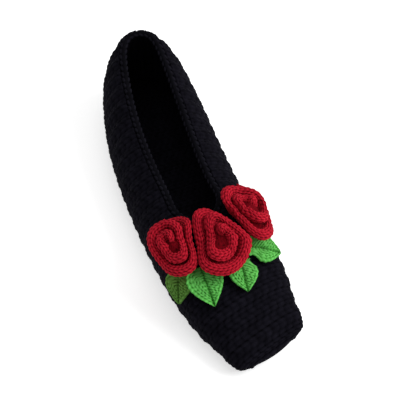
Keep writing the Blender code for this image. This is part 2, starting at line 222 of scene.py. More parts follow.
def weld(mesh: bmesh.types.BMesh) -> None:
    """Joins vertices that coincide along the borders."""
    border = [vertex for vertex in mesh.verts if vertex.is_boundary]
    bmesh.ops.remove_doubles(mesh, verts=border, dist=WELD_DISTANCE)


def close_ends(mesh: bmesh.types.BMesh) -> None:
    """Fills every ring of open edges with a face and turns all faces outward.

    Args:
        mesh: The mesh to close.
    """
    border = [edge for edge in mesh.edges if edge.is_boundary]
    bmesh.ops.holes_fill(mesh, edges=border, sides=0)
    bmesh.ops.recalc_face_normals(mesh, faces=mesh.faces[:])


def closed_spline(points: list[tuple[float, float]], steps: int) -> list[tuple[float, float]]:
    """A smooth closed line through some points.

    Args:
        points: The corners, in order.
        steps: How many places each stretch between two corners gets.

    Returns:
        The places along the line.
    """
    count = len(points)
    line = []
    for k in range(count):
        p0, p1, p2, p3 = (Vector(points[(k + step) % count]) for step in (-1, 0, 1, 2))
        for step in range(steps):
            t = step / steps
            place = 0.5 * (
                2 * p1
                + (p2 - p0) * t
                + (2 * p0 - 5 * p1 + 4 * p2 - p3) * t ** 2
                + (3 * p1 - p0 - 3 * p2 + p3) * t ** 3
            )
            line.append((place.x, place.y))
    return line


def object_noise(tree: bpy.types.NodeTree, scale: float, detail: float) -> bpy.types.NodeSocket:
    """Adds a noise on object coordinates to a material.

    Args:
        tree: The material's nodes.
        scale: Size of the noise, per metre.
        detail: Octaves of the noise.

    Returns:
        The noise's value.
    """
    place = tree.nodes.new("ShaderNodeTexCoord")
    noise = tree.nodes.new("ShaderNodeTexNoise")
    noise.inputs["Scale"].default_value = scale
    noise.inputs["Detail"].default_value = detail
    tree.links.new(place.outputs["Object"], noise.inputs["Vector"])
    return noise.outputs["Fac"]


@dataclass(frozen=True)
class YarnFinish:
    """The look of one dyed yarn: painted shade in the gaps of its stitches, its own body colour and a
    painted highlight on their crests.
    """

    name: str
    # The first colour is painted shade for the stitch gaps; the crest colour is a painted highlight.
    gap_shade: tuple[float, float, float]
    body: tuple[float, float, float]
    crest: tuple[float, float, float]
    sheen: float
    sheen_tint: tuple[float, float, float]
    specular: float
    roughness: float = 0.88
    sheen_roughness: float = 0.45
    body_stop: float = 0.42
    mottle: float = 0.30
    mottle_scale: float = 140.0
    mottle_detail: float = 4.0
    mottle_range: tuple[float, float] = (0.3, 0.7)
    fibre_scale: float = 1500.0
    fibre_detail: float = 3.0
    fibre_bump: float = 0.55
    fibre_height: float = 0.0004

    def material(self) -> bpy.types.Material:
        """The yarn's material.

        Returns:
            A material that reads each piece's painted light value, which runs from painted shade in the
            gaps to a painted highlight on the crests, and its object coordinates.
        """
        known = bpy.data.materials.get(self.name)
        if known is not None:
            return known
        material = bpy.data.materials.new(self.name)
        material.use_nodes = True
        tree = material.node_tree
        nodes = tree.nodes
        links = tree.links
        shader = nodes["Principled BSDF"]
        shader.inputs["Roughness"].default_value = self.roughness
        shader.inputs["Specular IOR Level"].default_value = self.specular
        shader.inputs["Sheen Weight"].default_value = self.sheen
        shader.inputs["Sheen Roughness"].default_value = self.sheen_roughness
        shader.inputs["Sheen Tint"].default_value = (*self.sheen_tint, 1.0)
        depth = nodes.new("ShaderNodeAttribute")
        depth.attribute_name = PAINTED_LIGHT
        # Gap colour is painted shade, crest colour a painted highlight, body colour the yarn's own.
        ramp = nodes.new("ShaderNodeValToRGB")
        stops = ramp.color_ramp.elements
        stops[0].position = 0.0
        stops[0].color = (*self.gap_shade, 1.0)
        stops[1].position = 1.0
        stops[1].color = (*self.crest, 1.0)
        middle = stops.new(self.body_stop)
        middle.color = (*self.body, 1.0)
        links.new(depth.outputs["Fac"], ramp.inputs["Fac"])
        mottle = object_noise(tree, self.mottle_scale, self.mottle_detail)
        spread = nodes.new("ShaderNodeMapRange")
        spread.inputs["From Min"].default_value = self.mottle_range[0]
        spread.inputs["From Max"].default_value = self.mottle_range[1]
        spread.inputs["To Min"].default_value = 1 - self.mottle
        spread.inputs["To Max"].default_value = 1 + self.mottle
        links.new(mottle, spread.inputs["Value"])
        tone = nodes.new("ShaderNodeVectorMath")
        tone.operation = "SCALE"
        links.new(ramp.outputs["Color"], tone.inputs[0])
        links.new(spread.outputs["Result"], tone.inputs["Scale"])
        links.new(tone.outputs["Vector"], shader.inputs["Base Color"])
        bump = nodes.new("ShaderNodeBump")
        bump.inputs["Strength"].default_value = self.fibre_bump
        bump.inputs["Distance"].default_value = self.fibre_height
        links.new(object_noise(tree, self.fibre_scale, self.fibre_detail), bump.inputs["Height"])
        links.new(bump.outputs["Normal"], shader.inputs["Normal"])
        return material


# In each yarn below, the gap colour is painted shade and the crest colour a painted highlight, around
# the yarn's own body colour.
BLACK_YARN = YarnFinish(
    name="black_yarn", gap_shade=(0.0006, 0.0006, 0.0008), body=(0.0028, 0.0026, 0.0042),
    crest=(0.0058, 0.0053, 0.0086), sheen=0.010, sheen_tint=(0.55, 0.52, 0.70), specular=0.02,
)
# A lighter copy of the black yarn: painted highlight along the collar edge.
EDGE_HIGHLIGHT_YARN = YarnFinish(
    name="edge_highlight_yarn", gap_shade=(0.0010, 0.0010, 0.0014), body=(0.0036, 0.0034, 0.0053),
    crest=(0.0068, 0.0063, 0.0098), sheen=0.010, sheen_tint=(0.55, 0.52, 0.70), specular=0.03,
)
RED_YARN = YarnFinish(
    name="red_yarn", gap_shade=(0.050, 0.0004, 0.0020), body=(0.220, 0.0024, 0.0084),
    crest=(0.470, 0.0120, 0.0280), sheen=0.03, sheen_tint=(1.0, 0.45, 0.50), specular=0.04,
    mottle=0.16,
)
GREEN_YARN = YarnFinish(
    name="green_yarn", gap_shade=(0.015, 0.080, 0.010), body=(0.060, 0.310, 0.043),
    crest=(0.135, 0.520, 0.108), sheen=0.03, sheen_tint=(0.75, 1.0, 0.70), specular=0.06,
    mottle=0.20,
)
# A darker olive copy of the green yarn: painted shade for the leaf that lies in the medial rose's
# shadow.
PAINTED_SHADE_GREEN_YARN = YarnFinish(
    name="painted_shade_green_yarn", gap_shade=(0.020, 0.055, 0.008), body=(0.068, 0.172, 0.025),
    crest=(0.118, 0.285, 0.052), sheen=0.03, sheen_tint=(0.75, 1.0, 0.70), specular=0.06,
    mottle=0.20,
)


def add_piece(name: str, mesh: bmesh.types.BMesh, finish: YarnFinish,
              replaced: tuple[str, ...] = ()) -> bpy.types.Object:
    """Turns a mesh into a dressed piece of the slipper.

    Args:
        name: The piece's name.
        mesh: Its mesh, which is freed.
        finish: Its yarn.
        replaced: The solids that it stands for.

    Returns:
        The new object.
    """
    data = bpy.data.meshes.new(name)
    for face in mesh.faces:
        face.smooth = True
    mesh.to_mesh(data)
    mesh.free()
    data.materials.append(finish.material())
    piece = bpy.data.objects.new(name, data)
    bpy.context.scene.collection.objects.link(piece)
    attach(piece, BODY)
    if replaced:
        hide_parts(*replaced)
    triangles = sum(len(polygon.vertices) - 2 for polygon in data.polygons)
    LOG.info("%s: %d triangles", name, triangles)
    return piece


@dataclass
class Last:
    """The form that every piece follows, with its cross sections from heel to toe."""

    length: float = 0.238
    ball_width: float = 0.0740
    instep_height: float = 0.0490
    bow: float = 0.0118
    toe_slant: float = 0.08
    slant_start: float = 0.150
    toe_spring: float = 0.0035
    spring_start: float = 0.200
    arch_lift: float = 0.0012
    arch_start: float = 0.075
    arch_end: float = 0.135
    base_share: float = 0.90
    bulge_share: float = 0.32
    heel_lean: float = 0.007
    heel_power: float = 1.6
    heel_tuck: float = 0.003
    toe_tuck: float = 0.002
    tuck_power: int = 8
    heel_reach: float = 0.060
    sole_thick: float = 0.005
    sole_share: float = 0.925
    sole_rows: int = 36
    ridges: int = 24
    ridge: float = 0.0008
    ridge_fade: float = 3.0
    throat_ridges: int = 16
    throat_reach: float = 0.022
    throat_power: float = 0.55
    lower_steps: int = 16
    upper_steps: int = 48
    plan_step: float = 0.0005
    crest_rows: int = 96
    crest_columns: int = 24
    shift: Vector = field(default_factory=lambda: Vector((0.0, 0.0, 0.0)))
    stations: tuple[Station, ...] = (
        Station(along=0.000, half=0.00, crown=1.44, collar=0.66, square=2.2),
        Station(along=0.012, half=0.31, crown=1.44, collar=0.65, square=2.2),
        Station(along=0.045, half=0.56, crown=1.40, collar=0.62, square=2.2),
        Station(along=0.105, half=0.73, crown=1.32, collar=0.59, square=2.2),
        Station(along=0.230, half=0.88, crown=1.17, collar=0.56, square=2.2),
        Station(along=0.350, half=0.94, crown=1.06, collar=0.54, square=2.2),
        Station(along=0.500, half=0.97, crown=0.99, collar=0.50, square=2.2),
        Station(along=0.650, half=0.98, crown=1.00, collar=0.46, square=2.3),
        Station(along=0.750, half=0.97, crown=0.88, collar=0.00, square=2.4),
        Station(along=0.850, half=0.90, crown=0.69, collar=0.00, square=2.6),
        Station(along=0.920, half=0.79, crown=0.53, collar=0.00, square=2.7),
        Station(along=0.960, half=0.75, crown=0.43, collar=0.00, square=2.7),
        Station(along=0.987, half=0.68, crown=0.35, collar=0.00, square=2.6),
        Station(along=1.000, half=0.50, crown=0.285, collar=0.00, square=2.5),
    )
    sole_profile: tuple[SoleCorner, ...] = (
        SoleCorner(width=0.00, height=0.00),
        SoleCorner(width=0.50, height=0.00),
        SoleCorner(width=0.92, height=0.00),
        SoleCorner(width=0.98, height=0.18),
        SoleCorner(width=1.00, height=0.50),
        SoleCorner(width=0.98, height=0.86),
        SoleCorner(width=0.95, height=1.00),
        SoleCorner(width=0.50, height=1.00),
        SoleCorner(width=0.00, height=1.00),
    )

    def __post_init__(self) -> None:
        """Sizes the stations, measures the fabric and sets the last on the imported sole."""
        units = Station(self.length, self.ball_width / 2, self.instep_height, 1.0, 1.0)
        rows = []
        for station in self.stations:
            rows.append(Station(*[share * unit for share, unit in zip(station, units)]))
        self.rows = [rows[1]._replace(half=-rows[1].half)] + rows
        distances = running_lengths([(row.along, row.half) for row in self.rows])
        self.distances = [distance - distances[1] for distance in distances]
        self.fabric = self.distances[-1]
        self.throat = self.fabric * self.throat_ridges / self.ridges
        self.row_pitch = self.fabric / (2 * self.ridges)
        self.walls = {}
        self.settle()

    def settle(self) -> None:
        """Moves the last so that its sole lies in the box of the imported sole."""
        places = []
        for row in range(self.sole_rows + 1):
            for side in Side:
                for corner in self.sole_profile:
                    distance = self.fabric * row / self.sole_rows
                    point = self.sole_point(distance, corner.width, corner.height)
                    places.append(self.place(point, side))
        low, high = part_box("sole")
        for axis in range(2):
            middle = (min(p[axis] for p in places) + max(p[axis] for p in places)) / 2
            self.shift[axis] = (low[axis] + high[axis]) / 2 - middle

    def slope_at_row(self, row: int, column: int) -> float:
        """Slope of one column of the sized stations at a row.

        Args:
            row: Number of the station.
            column: Number of its column.

        Returns:
            The change over a metre of fabric.
        """
        low = max(row - 1, 0)
        high = min(row + 1, len(self.rows) - 1)
        rise = self.rows[high][column] - self.rows[low][column]
        return rise / (self.distances[high] - self.distances[low])

    def station_at(self, distance: float) -> Station:
        """The station at a fabric distance from the heel seam, on a smooth curve.

        Args:
            distance: Distance along the outline, from the heel seam.

        Returns:
            The sized station there.
        """
        row = 1
        while row < len(self.rows) - 2 and self.distances[row + 1] <= distance:
            row += 1
        span = self.distances[row + 1] - self.distances[row]
        t = (distance - self.distances[row]) / span
        values = []
        for column in range(len(Station._fields)):
            start = self.rows[row][column]
            end = self.rows[row + 1][column]
            leave = self.slope_at_row(row, column) * span
            arrive = self.slope_at_row(row + 1, column) * span
            values.append(
                start * (2 * t ** 3 - 3 * t ** 2 + 1)
                + leave * (t ** 3 - 2 * t ** 2 + t)
                + end * (3 * t ** 2 - 2 * t ** 3)
                + arrive * (t ** 3 - t ** 2)
            )
        return Station(*values)

    def plan_direction(self, distance: float) -> tuple[float, float]:
        """Unit direction of the outline in plan: its parts along the foot and across it.

        Args:
            distance: Distance along the outline, from the heel seam.

        Returns:
            The part along the foot and the part across it.
        """
        if distance < self.plan_step:
            return 0.0, 1.0
        before = self.station_at(distance - self.plan_step)
        after = self.station_at(min(distance + self.plan_step, self.fabric))
        along = after.along - before.along
        half = after.half - before.half
        size = math.hypot(along, half)
        return along / size, half / size

    def tread_height(self, along: float) -> float:
        """Height of the underside of the sole: flat, a low arch and a toe spring.

        Args:
            along: Distance from the heel.

        Returns:
            The height over the floor.
        """
        if along > self.spring_start:
            share = (along - self.spring_start) / (self.length - self.spring_start)
            return self.toe_spring * share ** 2
        if self.arch_start < along < self.arch_end:
            share = (along - self.arch_start) / (self.arch_end - self.arch_start)
            return self.arch_lift * math.sin(math.pi * share) ** 2
        return 0.0

    def place(self, point: Vector, side: Side) -> Vector:
        """A point of the straight slipper in the bowed and slanted last.

        Args:
            point: Its place along the foot, out from the centre line and above the floor.
            side: The wall that it is on.

        Returns:
            The place in the shared frame.
        """
        along, across, height = point
        across *= side.value
        reach = self.length - self.slant_start
        along -= self.toe_slant * smoothstep((along - self.slant_start) / reach) * across
        share = 2 * along / self.length - 1
        centre = -self.bow * (1 - share * share)
        lean = 4 * self.bow / self.length * share
        size = math.hypot(1.0, lean)
        x = centre + across / size
        y = self.length / 2 - along + across * lean / size
        return Vector((x, y, height)) + self.shift

    def heel_shift(self, along: float, height: float, bulge: float, top: float) -> float:
        """How far the back of the heel leans in above its bulge and tucks in below it.

        Args:
            along: Distance from the heel.
            height: Height over the floor.
            bulge: Height of the heel's fullest place.
            top: Height of its rim.

        Returns:
            The shift towards the toe.
        """
        if along >= self.heel_reach:
            return 0.0
        fade = (1 - along / self.heel_reach) ** 2
        if height > bulge:
            return self.heel_lean * fade * ((height - bulge) / (top - bulge)) ** self.heel_power
        return self.heel_tuck * fade * ((bulge - height) / bulge) ** 2

    def collar_angle(self, distance: float, station: Station) -> float:
        """Angle of the section's arch at which the collar cuts it off.

        Args:
            distance: Distance along the outline, from the heel seam.
            station: The sized station there.

        Returns:
            The angle, a right one where the wall is closed.
        """
        if distance >= self.throat - TINY:
            return math.pi / 2
        closing = (distance - self.throat + self.throat_reach) / self.throat_reach
        share = station.collar
        if closing > 0:
            share *= (1 - closing * closing) ** self.throat_power
        return math.acos(share ** (station.square / 2))

    def wall_line(self, distance: float, inset: float) -> tuple[list[Vector], list[float]]:
        """A wall of the straight slipper, from the crown down to the sole.

        Args:
            distance: Distance along the outline, from the heel seam.
            inset: How far inside the outer face the wall lies.

        Returns:
            The points of the wall, and the angle of the arch at each point of it.
        """
        station = self.station_at(distance)
        run, spread = self.plan_direction(distance)
        along = station.along + inset * spread
        half = max(station.half - inset * run, 0.0)
        base_half = max(station.half * self.base_share - inset * run, 0.0)
        base = self.tread_height(station.along) + self.sole_thick + GAP
        bulge = base + self.bulge_share * (station.crown - base)
        crown = station.crown - inset
        power = 2 / station.square
        flat = []
        angles = []
        for step in range(self.upper_steps + 1):
            angle = math.pi / 2 * (1 - smoothstep(step / self.upper_steps))
            across = half * max(math.cos(angle), 0.0) ** power if step else 0.0
            flat.append((across, bulge + (crown - bulge) * math.sin(angle) ** power))
            angles.append(angle)
        for step in range(1, self.lower_steps + 1):
            angle = math.pi / 2 * (1 - step / self.lower_steps)
            across = base_half + (half - base_half) * math.sin(angle)
            flat.append((across, base + (bulge - base) * (1 - math.cos(angle))))
            angles.append(0.0)
        points = []
        for across, height in flat:
            shift = self.heel_shift(along, height, bulge, station.crown)
            points.append(Vector((along + shift, across, height)))
        return points, angles

    def wall_points(self, distance: float, inset: float, columns: int) -> list[WallPoint]:
        """Evenly spaced points of a wall, from the sole's edge up to the collar or the crown.

        Args:
            distance: Distance along the outline, from the heel seam.
            inset: How far inside the outer face the wall lies.
            columns: How many steps the wall gets.

        Returns:
            The points with their outward steps and arcs.
        """
        key = (distance, inset, columns)
        if key in self.walls:
            return self.walls[key]
        plain, angles = self.wall_line(distance, inset)
        raised, _ = self.wall_line(distance, inset - MILLIMETRE)
        arcs = running_lengths(plain)
        cut = self.collar_angle(distance, self.station_at(distance))
        start = 0.0
        for k in range(self.upper_steps):
            if angles[k] >= cut > angles[k + 1]:
                share = (angles[k] - cut) / (angles[k] - angles[k + 1])
                start = arcs[k] + (arcs[k + 1] - arcs[k]) * share
        points = []
        for column in range(columns + 1):
            arc = arcs[-1] + (start - arcs[-1]) * column / columns
            k, t = find_span(arcs, arc)
            base = plain[k].lerp(plain[k + 1], t)
            outward = raised[k].lerp(raised[k + 1], t) - base
            points.append(WallPoint(base, outward, arc, arcs[-1] - arc))
        self.walls[key] = points
        return points

    def sole_point(self, distance: float, width: float, height: float) -> Vector:
        """A point of the straight sole, by its shares of the half width and the thickness.

        Args:
            distance: Distance along the outline, from the heel seam.
            width: Share of the half width.
            height: Share of the thickness.

        Returns:
            Its place along the foot, out from the centre line and above the floor.
        """
        station = self.station_at(distance)
        share = distance / self.fabric
        lift = height * self.sole_thick
        shift = self.heel_shift(station.along, lift, self.sole_thick, 2 * self.sole_thick)
        tuck = self.heel_tuck * (1 - share) ** self.tuck_power - self.toe_tuck * share ** self.tuck_power
        across = width * self.sole_share * station.half
        lift += self.tread_height(station.along)
        return Vector((station.along + tuck + shift, across, lift))

    def ridge_height(self, distance: float) -> float:
        """Height of the ribbing at a fabric distance, running out at both seams.

        Args:
            distance: Distance along the outline, from the heel seam.

        Returns:
            The height over the plain wall.
        """
        pitch = 2 * self.row_pitch
        from_seam = min(distance, self.fabric - distance)
        fade = min(max(from_seam / (self.ridge_fade * pitch), 0.0), 1.0)
        return self.ridge * wave(distance, pitch) * fade

    def crest_tree(self) -> BVHTree:
        """A search tree over the crests of the ribs, on which roses and leaves are seated.

        Returns:
            The search tree.
        """
        mesh = new_bmesh()
        for side in Side:
            rows = []
            for row in range(self.crest_rows + 1):
                distance = self.fabric * row / self.crest_rows
                points = self.wall_points(distance, -self.ridge, self.crest_columns)
                rows.append([Knot(self.place(point.base, side), 0.0) for point in points])
            map_grid(mesh, rows)
        mesh.verts.index_update()
        corners = [vertex.co.copy() for vertex in mesh.verts]
        polygons = [[vertex.index for vertex in face.verts] for face in mesh.faces]
        mesh.free()
        return BVHTree.FromPolygons(corners, polygons)


@dataclass
class YarnLobes:
    """A row of yarn loops, each a small drawn-out ball, joined in one mesh."""

    segments: int = 8
    rings: int = 6
    slant: float = 0.42
    spread: float = 0.24
    half_length: float = 0.66
    half_width: float = 0.29
    half_height: float = 0.30
    tone: float = 0.45
    top_highlight: float = 0.40
    middle_highlight: float = 0.25
    mesh: bmesh.types.BMesh = field(default_factory=new_bmesh)

    def add(self, centre: Vector, ahead: Vector, up: Vector, size: tuple[float, float, float]) -> None:
        """Adds one loop.

        Args:
            centre: Its middle.
            ahead: Its long direction.
            up: Its outward direction.
            size: Its half length, half width and half height.
        """
        ahead = ahead.normalized()
        aside = up.cross(ahead).normalized()
        above = ahead.cross(aside)
        turn = Matrix((aside, above, ahead)).transposed().to_4x4()
        scale = Matrix.Diagonal((size[1], size[2], size[0], 1.0))
        made = bmesh.ops.create_uvsphere(
            self.mesh, u_segments=self.segments, v_segments=self.rings, radius=1.0,
            matrix=Matrix.Translation(centre) @ turn @ scale,
        )
        painted_light_layer = self.mesh.verts.layers.float[PAINTED_LIGHT]
        for vertex in made["verts"]:
            # Painted highlight on the top and the middle of each loop, painted shade on its underside.
            rise = (vertex.co - centre).dot(above) / size[2]
            along = (vertex.co - centre).dot(ahead) / size[0]
            middle = self.middle_highlight * (1 - along * along)
            vertex[painted_light_layer] = self.tone + self.top_highlight * rise + middle

    def chain(self, line: list[Vector], ups: list[Vector], pitch: float, width: float) -> None:
        """Adds a chain of paired slanting loops along a closed line.

        Args:
            line: The places that the chain follows.
            ups: The outward direction at each place.
            pitch: Length of one stitch.
            width: Width of the chain.
        """
        points = line + line[:1]
        normals = ups + ups[:1]
        arcs = running_lengths(points)
        count = max(round(arcs[-1] / pitch), 1)
        step = arcs[-1] / count
        size = (self.half_length * step, self.half_width * width, self.half_height * width)
        for stitch in range(count):
            k, t = find_span(arcs, (stitch + 0.5) * step)
            centre = points[k].lerp(points[k + 1], t)
            up = normals[k].lerp(normals[k + 1], t).normalized()
            ahead = (points[k + 1] - points[k]).normalized()
            aside = up.cross(ahead).normalized()
            for hand in (1, -1):
                direction = ahead + aside * (self.slant * hand)
                place = centre + aside * (self.spread * width * hand)
                self.add(place, direction, up, size)


@dataclass
class Upper:
    """The ribbed upper: rows of stitches outside, a plainer inside and rims that join the two."""

    last: Last
    finish: YarnFinish = BLACK_YARN
    wall: float = 0.003
    long_step: float = 0.00062
    columns: int = 76
    inner_columns: int = 14
    stitch: float = 0.0056
    stitch_depth: float = 0.00105
    lean: float = 0.09
    quarter_gain: float = 0.9
    foot_fade: float = 0.004
    foot_shade: float = 0.4
    collar_fade: float = 0.003
    collar_relief: float = 0.50
    inner_depth: float = 0.0005
    inner_tone: float = 0.55
    nose_rows: int = 8
    nose_turn: float = 0.47
    nose_stretch: float = 1.2
    nose_reach: float = 0.0022
    nose_taper: float = 0.16
    nose_level: float = 0.15
    seam_width: float = 0.0016
    seam_depth: float = 0.0006

    def distances(self) -> list[float]:
        """Fabric distances of the mesh's rows, with one on the throat.

        Returns:
            The distances from the heel seam to the toe.
        """
        open_count = round(self.last.throat / self.long_step)
        closed_count = round((self.last.fabric - self.last.throat) / self.long_step)
        rows = [self.last.throat * row / open_count for row in range(open_count)]
        span = self.last.fabric - self.last.throat
        rows += [self.last.throat + span * row / closed_count for row in range(closed_count + 1)]
        return rows

    def outer_knot(self, point: WallPoint, distance: float, edge: float, side: Side) -> Knot:
        """A stitched point of the outer face.

        Args:
            point: The point of the wall.
            distance: Its fabric distance.
            edge: Its distance from the collar, or a large number where the wall is closed.
            side: The wall that it is on.

        Returns:
            The place and the painted light value: painted shade in the stitch gaps and towards the sole,
                a painted highlight on the crests.
        """
        row = distance / self.last.row_pitch
        stitch = point.from_crown * side.value / self.stitch
        chain = chain_relief(row, stitch, self.lean)
        foot = smoothstep(point.from_sole / self.foot_fade)
        collar = rise_from(self.collar_relief, smoothstep(edge / self.collar_fade))
        quarter = 1 + self.quarter_gain * (1 - smoothstep(distance / self.last.throat))
        relief = self.last.ridge_height(distance) * quarter * foot * collar
        seam = smoothstep(distance / self.seam_width)
        relief += self.stitch_depth * (chain - 0.5) * foot * collar * seam
        relief -= self.seam_depth * (1 - seam)
        straight = point.base + point.outward * (relief / MILLIMETRE)
        # Painted shade: the stitch gaps and the rows near the sole take darker values.
        return Knot(self.last.place(straight, side), chain * rise_from(self.foot_shade, foot))

    def outer_rows(self, side: Side) -> list[list[Knot]]:
        """All rows of the outer face on one side, with the rounded nose.

        Args:
            side: The wall that they are on.

        Returns:
            The knots by row and column.
        """
        rows = []
        for distance in self.distances():
            points = self.last.wall_points(distance, 0.0, self.columns)
            closed = distance >= self.last.throat - TINY
            top = points[-1].from_crown
            row = []
            for point in points:
                edge = 1.0 if closed else point.from_crown - top
                row.append(self.outer_knot(point, distance, edge, side))
            rows.append(row)
        return rows + self.nose(side)

    def nose(self, side: Side) -> list[list[Knot]]:
        """Rows that round off the short seam across the toe.

        Args:
            side: The wall that they are on.

        Returns:
            The knots by row and column.
        """
        points = self.last.wall_points(self.last.fabric, 0.0, self.columns)
        foot = points[0].base.z
        level = foot + self.nose_level * (points[-1].base.z - foot)
        widest = max(point.base.y for point in points)
        rows = []
        for step in range(1, self.nose_rows + 1):
            angle = self.nose_turn * math.pi * step / self.nose_rows
            distance = self.last.fabric + self.nose_reach * angle * self.nose_stretch
            row = []
            for point in points:
                along, across, height = point.base
                along += self.nose_reach * (1 - (across / widest) ** 2) * math.sin(angle)
                across *= 1 - self.nose_taper * (1 - math.cos(angle))
                height = level + (height - level) * math.cos(angle)
                stitch = across * side.value / self.stitch
                chain = chain_relief(distance / self.last.row_pitch, stitch, self.lean)
                relief = self.stitch_depth * (chain - 0.5) * math.cos(angle)
                straight = Vector((along, across, height)) + point.outward * (relief / MILLIMETRE)
                row.append(Knot(self.last.place(straight, side), chain))
            rows.append(row)
        return rows

    def inner_rows(self, side: Side) -> list[list[Knot]]:
        """All rows of the inner face on one side.

        Args:
            side: The wall that they are on.

        Returns:
            The knots by row and column.
        """
        rows = []
        for distance in self.distances():
            rib = wave(distance, self.last.row_pitch)
            row = []
            for point in self.last.wall_points(distance, self.wall, self.inner_columns):
                fade = smoothstep(point.from_sole / self.foot_fade)
                relief = -self.inner_depth * rib * fade
                straight = point.base + point.outward * (relief / MILLIMETRE)
                # Painted light on the inner face: darker painted shade in the rib valleys, and the whole
                # face held towards the crest colour to brighten the dim inside.
                row.append(Knot(self.last.place(straight, side), rise_from(self.inner_tone, rib)))
            rows.append(row)
        return rows

    def shell(self, mesh: bmesh.types.BMesh, table: Callable[[Side], list[list[Knot]]]) -> None:
        """Adds the two sides of a face, closed at the toe, and marks its collar.

        Args:
            mesh: The mesh that takes the face.
            table: Gives the rows of knots of one side.
        """
        mark = mesh.verts.layers.int[COLLAR]
        ends = []
        for side in Side:
            grid = map_grid(mesh, table(side))
            for vertices, distance in zip(grid, self.distances()):
                if distance <= self.last.throat + TINY:
                    vertices[-1][mark] = 1
            ends.append(grid[-1])
        lateral, medial = ends
        bmesh.ops.contextual_create(mesh, geom=[lateral[0], medial[0]])
        bmesh.ops.remove_doubles(mesh, verts=[lateral[-1], medial[-1]], dist=WELD_DISTANCE)
        rim = {vertex for vertex in lateral + medial if vertex.is_valid}
        near = {edge for vertex in rim for edge in vertex.link_edges}
        ring = [edge for edge in near if len(edge.link_faces) < 2 and rim.issuperset(edge.verts)]
        bmesh.ops.edgeloop_fill(mesh, edges=ring)

    def build(self) -> bpy.types.Object:
        """Makes the piece that stands for the upper.

        Returns:
            The dressed piece.
        """
        mesh = new_bmesh()
        mesh.verts.layers.int.new(COLLAR)
        for table in (self.outer_rows, self.inner_rows):
            self.shell(mesh, table)
        weld(mesh)
        mark = mesh.verts.layers.int[COLLAR]
        border = [edge for edge in mesh.edges if edge.is_boundary]
        collar = {edge for edge in border if all(vertex[mark] for vertex in edge.verts)}
        for edges in (collar, set(border) - collar):
            bmesh.ops.bridge_loops(mesh, edges=list(edges))
        close_ends(mesh)
        return add_piece("upper_crochet", mesh, self.finish, ("upper",))


@dataclass
class Sole:
    """The crocheted sole with rows of stitches on its tread, edge and foot bed."""

    last: Last
    finish: YarnFinish = BLACK_YARN
    long_step: float = 0.00085
    columns: int = 66
    stitch: float = 0.0046
    stitch_depth: float = 0.0009
    end_fade: float = 0.006
    seam_steps: int = 120
    seam_share: float = 0.975
    seam_tilt: float = 0.5
    seam_pitch: float = 0.0046
    seam_width: float = 0.0030

    def profile(self, distance: float) -> list[tuple[Vector, Vector, float]]:
        """Even steps along half the section, with their inward directions and arcs from the middle.

        Args:
            distance: Distance along the outline, from the heel seam.

        Returns:
            The place, the inward direction and the arc of each step.
        """
        corners = []
        for corner in self.last.sole_profile:
            corners.append(self.last.sole_point(distance, corner.width, corner.height))
        arcs = running_lengths(corners)
        steps = []
        for column in range(self.columns + 1):
            arc = arcs[-1] * column / self.columns
            k, t = find_span(arcs, arc)
            point = corners[k].lerp(corners[k + 1], t)
            run = corners[k + 1] - corners[k]
            inward = Vector((0.0, -run.z, run.y)).normalized()
            steps.append((point, inward, min(arc, arcs[-1] - arc)))
        return steps

    def rows(self, side: Side) -> list[list[Knot]]:
        """All rows of one half of the sole.

        Args:
            side: The wall that they are on.

        Returns:
            The knots by row and column.
        """
        count = round(self.last.fabric / self.long_step)
        rows = []
        for number in range(count + 1):
            distance = self.last.fabric * number / count
            ends = smoothstep(distance / self.end_fade)
            ends *= smoothstep((self.last.fabric - distance) / self.end_fade)
            row = []
            for point, inward, arc in self.profile(distance):
                chain = chain_relief(distance / self.last.row_pitch, arc * side.value / self.stitch)
                straight = point + inward * (self.stitch_depth * (1 - chain) * ends)
                row.append(Knot(self.last.place(straight, side), chain))
            rows.append(row)
        return rows

    def build(self) -> bpy.types.Object:
        """Makes the piece that stands for the sole.

        Returns:
            The dressed piece.
        """
        mesh = new_bmesh()
        for side in Side:
            map_grid(mesh, self.rows(side))
        weld(mesh)
        close_ends(mesh)
        return add_piece("sole_crochet", mesh, self.finish, ("sole",))

    def build_seam(self) -> bpy.types.Object:
        """Makes the round of stitches that joins the sole to the upper.

        Returns:
            The dressed piece.
        """
        line = []
        ups = []
        count = self.seam_steps
        for side in Side:
            steps = range(count + 1) if side is Side.LATERAL else range(count - 1, 0, -1)
            for step in steps:
                distance = self.last.fabric * step / count
                edge = self.last.sole_point(distance, self.seam_share, 1.0)
                run, spread = self.last.plan_direction(distance)
                place = self.last.place(edge, side)
                outward = Vector((-spread, run, self.seam_tilt)) * MILLIMETRE
                line.append(place)
                ups.append((self.last.place(edge + outward, side) - place).normalized())
        lobes = YarnLobes()
        lobes.chain(line, ups, self.seam_pitch, self.seam_width)
        return add_piece("sole_seam", lobes.mesh, self.finish)


